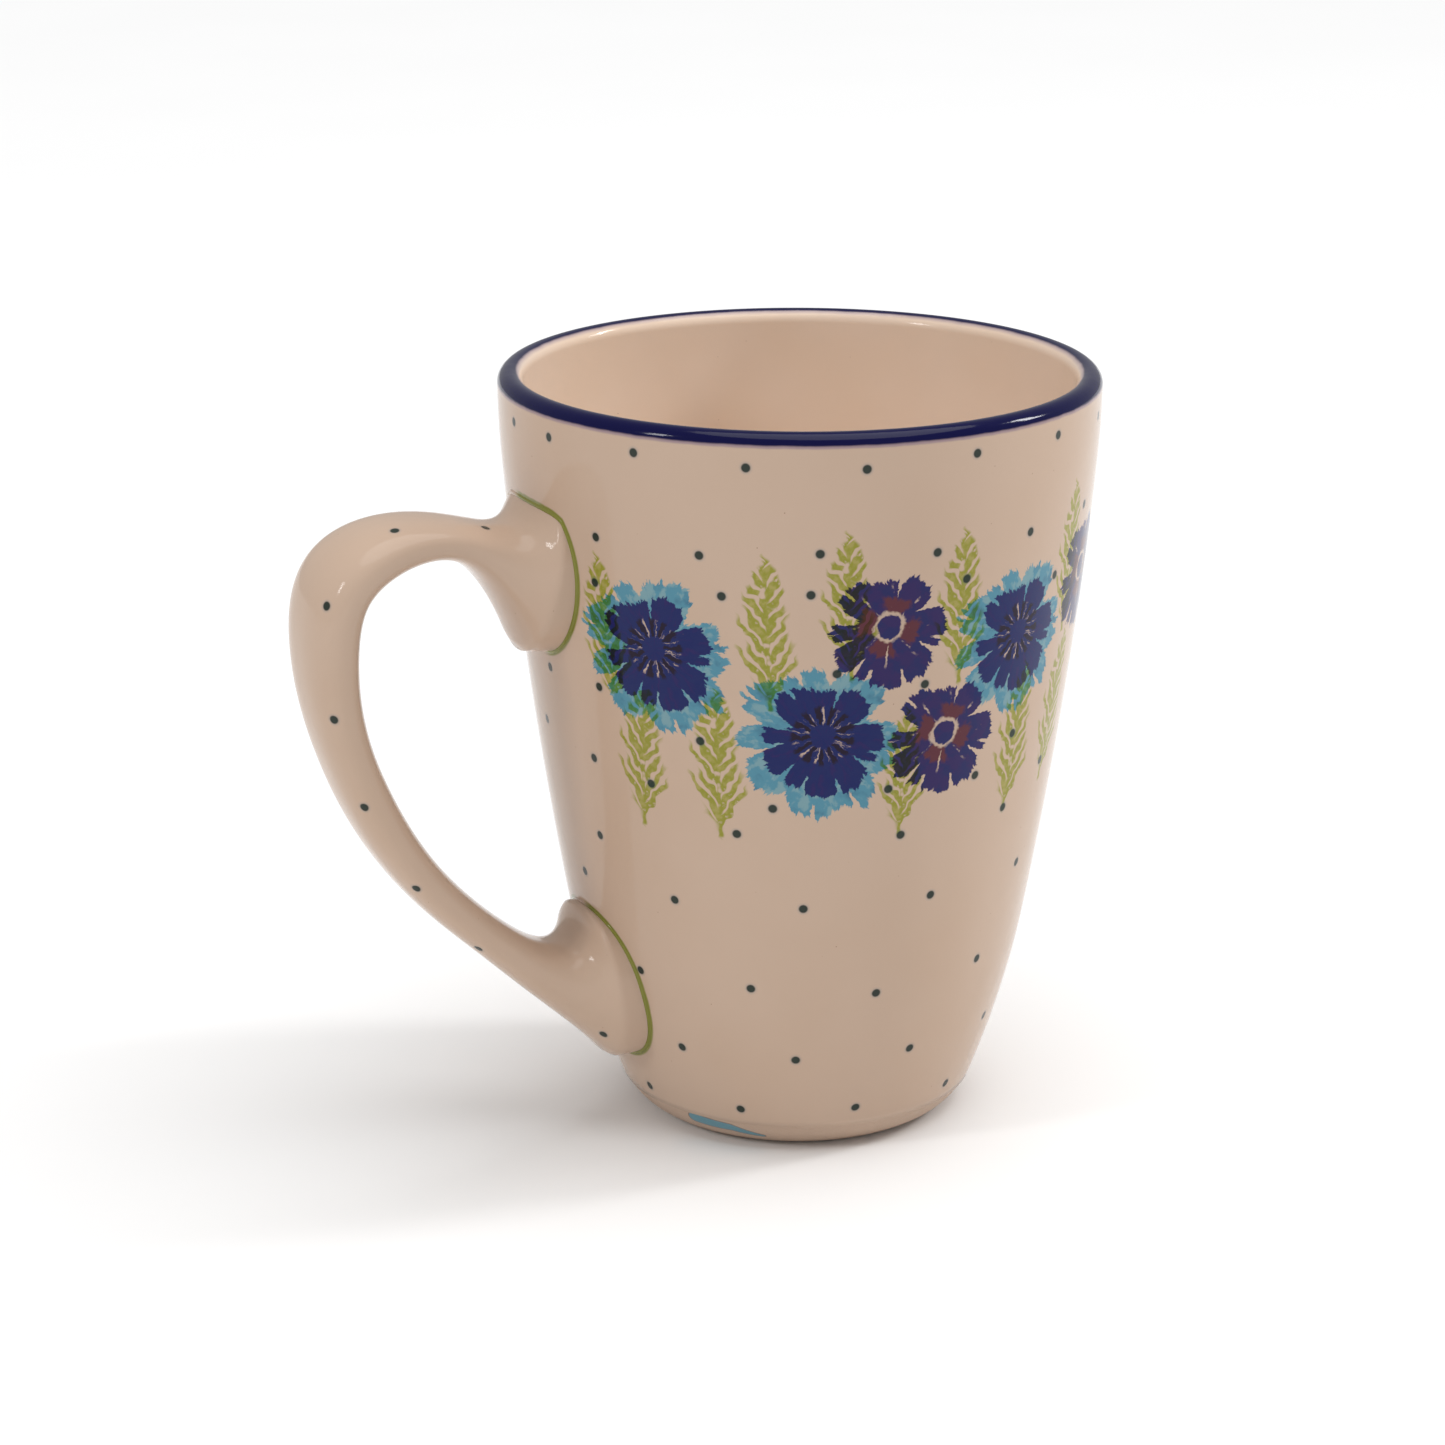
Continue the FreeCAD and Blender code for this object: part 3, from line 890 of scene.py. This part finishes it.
def surface_place():
    """Coordinates in mm: the spot, its parts, the radius from the axis, and the way round."""
    spot = vector_maths("SCALE", node("TexCoord").outputs["Object"], scale=1.0 / MM).outputs[0]
    x, y, level = parts(spot)
    radius = maths("SQRT", x * x + y * y)
    turn = maths("ARCTAN2", 0.0 - y, 0.0 - x)
    turn = maths("FLOORED_MODULO", turn, 2.0 * math.pi)
    return spot, x, y, level, radius, (turn * radius, radius, level)


def glazed_clay(spot, pale=CLAY, warm=CLAY_WARM):
    """Warm glazed stoneware: slow changes of tone."""
    slow = Field(noise(spot, 0.045, 2.0).outputs["Fac"])
    return blended(pale, warm, faded(slow, 0.75, 0.35) * 0.5)


def add_bump(shader, height, strength, distance):
    """Relief from a height field; distance is in metres."""
    bump = node("Bump")
    bump.inputs["Strength"].default_value = strength
    bump.inputs["Distance"].default_value = distance
    feed(bump.inputs["Height"], height)
    feed(shader.inputs["Normal"], bump.outputs[0])


def gloss(shader, colour, spot):
    """A fired gloss over a colour: nearly smooth, with a slow ripple and a fine orange peel."""
    fine = Field(noise(spot, 0.9, 2.0).outputs["Fac"])
    slow = Field(noise(spot, 0.11, 2.0).outputs["Fac"])
    add_bump(shader, fine * 0.12 + slow * 0.8, 0.25, 0.4 * MM)
    feed(shader.inputs["Base Color"], colour)
    feed(shader.inputs["Roughness"], fine * 0.05 + 0.075)
    shader.inputs["IOR"].default_value = GLAZE_IOR
    shader.inputs["Specular IOR Level"].default_value = GLAZE_SPECULAR


def outside_material(pad_lines):
    """Everything painted on the wall, from the flowers up to the rim."""
    material, shader = start_material("painted_glaze")
    spot, x, y, level, radius, around = surface_place()
    colour = glazed_clay(spot)
    colour = paint_cornflowers(colour, around)
    colour = paint_asters(colour, around)
    colour = paint_fronds(colour, around)
    colour = paint_dots(colour, around)
    colour = paint_pad_lines(colour, x, y, level, pad_lines)
    colour = paint_foot_mark(colour, spot)
    colour = paint_specks(colour, spot)
    colour = paint_rim(colour, radius, level, spot)
    gloss(shader, colour, spot)
    return material


def rim_material():
    """Cobalt over the crown of the lip, on the wall's clay outside it and, inside it, the hollow's clay
    made paler as painted light.
    """
    material, shader = start_material("cobalt_rim_glaze")
    spot, _, _, level, radius, _ = surface_place()
    crown = RIM - LIP
    inside = faded(radius, crown - 0.3, crown + 0.3)
    # The inner half of the lip takes the hollow's clay, lifted as painted light.
    clay = blended(glazed_clay(spot), glazed_clay(spot, INNER_CLAY_WITH_PAINTED_LIGHT, INNER_CLAY_WARM_WITH_PAINTED_LIGHT), inside)
    colour = paint_rim(clay, radius, level, spot)
    gloss(shader, colour, spot)
    return material


def inside_material():
    """The glazed clay of the hollow, made paler as painted light for the light inside it, and the inner
    edge of the rim.
    """
    material, shader = start_material("inner_glaze")
    spot, _, _, level, radius, _ = surface_place()
    # The hollow's clay colour carries painted light: it is lifted well above the wall's clay.
    colour = paint_specks(glazed_clay(spot, INNER_CLAY_WITH_PAINTED_LIGHT, INNER_CLAY_WARM_WITH_PAINTED_LIGHT), spot)
    colour = paint_rim(colour, radius, level, spot)
    gloss(shader, colour, spot)
    return material


def handle_material(rings):
    """Glazed clay with two staggered rows of dots along the strap."""
    material, shader = start_material("handle_glaze")
    spot = surface_place()[0]
    colour = paint_specks(glazed_clay(spot), spot)
    distances = []
    for along, turn in HANDLE_DOTS:
        point = strap_point(rings, along, turn)
        distances.append(length(vector_maths("SUBTRACT", spot, tuple(point)).outputs[0]))
    colour = dotted(colour, nearest(distances))
    gloss(shader, colour, spot)
    return material


def seam_material(pad_lines):
    """Glazed slip under the green brush lines."""
    material, shader = start_material("slip_seam_glaze")
    spot, x, y, level, _, _ = surface_place()
    colour = paint_pad_lines(glazed_clay(spot), x, y, level, pad_lines)
    gloss(shader, colour, spot)
    return material


def bare_material():
    """Unglazed fired stoneware of the foot: matt, grainy and specked."""
    material, shader = start_material("bare_stoneware")
    spot = surface_place()[0]
    grain = Field(noise(spot, 2.5, 4.0, 0.65).outputs["Fac"])
    colour = blended(BARE_CLAY, CLAY_WARM, faded(grain, 0.65, 0.4) * 0.6)
    colour = paint_foot_mark(paint_specks(colour, spot), spot)
    feed(shader.inputs["Base Color"], colour)
    feed(shader.inputs["Roughness"], grain * 0.15 + 0.45)
    add_bump(shader, grain, 0.6, 0.2 * MM)
    return material


def floor_material():
    """Matt white, hardly uneven."""
    material, shader = start_material("white_floor")
    spot = surface_place()[0]
    tone = Field(noise(spot, 0.01, 1.0).outputs["Fac"])
    feed(shader.inputs["Base Color"], blended(*FLOOR_TONES, tone))
    shader.inputs["Roughness"].default_value = 0.9
    shader.inputs["Specular IOR Level"].default_value = 0.0
    return material


# ---------------------------------------------------------------- stage
CAMERA_PLACE = (-0.2605, -0.5083, 0.2380)
CAMERA_DIP = 17.39
CAMERA_TURN = -26.0
CAMERA_LENS = 98.9
CAMERA_SENSOR = 36.0
SUN_WAY = (0.10, -0.12, 1.0)
SUN_STRENGTH = 1.9
SUN_SPREAD = 60.0
WORLD_STRENGTH = 0.42
# Small soft lamps: name, place, size, power.
SOFTBOXES = [
    ("left_softbox", (-0.88, -0.1, 0.58), (0.12, 0.22), 1.7),
    ("right_softbox", (0.8, -0.2, 0.6), (0.13, 0.24), 2.8),
]
LAMPS_LOOK_AT = (0.0, 0.0, 0.06)
FLOOR_REACH = 3.0


def make_camera():
    """A long lens that looks a little down on the mug from in front of the handle side."""
    camera = bpy.data.objects.new("camera", bpy.data.cameras.new("camera"))
    camera.data.lens = CAMERA_LENS
    camera.data.sensor_width = CAMERA_SENSOR
    camera.data.clip_start = 0.01
    camera.data.clip_end = 20.0
    camera.location = CAMERA_PLACE
    camera.rotation_euler = (math.radians(90.0 - CAMERA_DIP), 0.0, math.radians(CAMERA_TURN))
    put_in_scene(camera)
    bpy.context.scene.camera = camera


def make_softbox(name, place, size, power):
    """A small soft lamp that looks at the middle of the mug."""
    light = bpy.data.lights.new(name, "AREA")
    light.shape = "RECTANGLE"
    light.size, light.size_y = size
    light.energy = power
    lamp = bpy.data.objects.new(name, light)
    lamp.location = place
    away = Vector(place) - Vector(LAMPS_LOOK_AT)
    lamp.rotation_euler = away.to_track_quat("Z", "Y").to_euler()
    put_in_scene(lamp)


def make_overhead():
    """Broad soft light from high in front."""
    light = bpy.data.lights.new("overhead", "SUN")
    light.energy = SUN_STRENGTH
    light.angle = math.radians(SUN_SPREAD)
    lamp = bpy.data.objects.new("overhead", light)
    lamp.rotation_euler = Vector(SUN_WAY).to_track_quat("Z", "Y").to_euler()
    put_in_scene(lamp)


def make_stage():
    """A white floor that fills the view, an even white world and three lamps."""
    ways = ((-1.0, -1.0), (1.0, -1.0), (1.0, 1.0), (-1.0, 1.0))
    corners = [(x * FLOOR_REACH, y * FLOOR_REACH, 0.0) for x, y in ways]
    floor = make_piece("studio_floor", corners, [(0, 1, 2, 3)])
    floor.data.materials.append(floor_material())
    world = bpy.data.worlds.new("studio")
    world.use_nodes = True
    background = world.node_tree.nodes["Background"]
    background.inputs["Color"].default_value = (1.0, 1.0, 1.0, 1.0)
    background.inputs["Strength"].default_value = WORLD_STRENGTH
    bpy.context.scene.world = world
    bpy.context.scene.view_settings.view_transform = "Standard"
    make_overhead()
    for softbox in SOFTBOXES:
        make_softbox(*softbox)


# ---------------------------------------------------------------- assembly
def finish_piece(piece, material, slot, *nodes):
    """Give a piece its material, hang it under the root body and hide the CAD nodes it stands for."""
    piece.data.materials.append(material)
    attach(piece, "root")
    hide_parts(*nodes)


handle_rings = strap_rings()
upper_path = seam_path(handle_rings, UPPER_PAD)
lower_path = seam_path(handle_rings, LOWER_PAD)
# Each brush line: middle level, outline, and the angles where the stroke lifts.
pad_lines = [
    (*seam_outline(upper_path), (122.0, -98.0)),
    (*seam_outline(lower_path), (100.0, -106.0)),
]

make_camera()
make_stage()

clay_run = foot_run() + outer_run(-COAT)[1:] + lip_run(COAT)[1:] + inner_run(COAT, COAT)[1:]
finish_piece(turned("clay_cup", clay_run), bare_material(), "stoneware", "cup_body")
outside_run = [moved(HEEL, -COAT)] + outer_run(0.0)
outside_glaze = outside_material(pad_lines)
finish_piece(turned("outside_glaze", outside_run), outside_glaze, "clear_glaze", "outer_glaze")
finish_piece(turned("rim_glaze", lip_run(0.0)), rim_material(), "cobalt_band", "rim_band")
inside_run = inner_run(0.0, 0.0)
finish_piece(turned("inside_glaze", inside_run), inside_material(), "clear_glaze", "inner_glaze")
handle_glaze = handle_material(handle_rings)
finish_piece(make_handle(handle_rings), handle_glaze, "clear_glaze", "handle")

seam_glaze = seam_material(pad_lines)
finish_piece(make_seam("upper_slip_seam", upper_path), seam_glaze, "slip", "upper_slip_joint")
finish_piece(make_seam("lower_slip_seam", lower_path), seam_glaze, "slip", "lower_slip_joint")

bpy.context.view_layer.update()
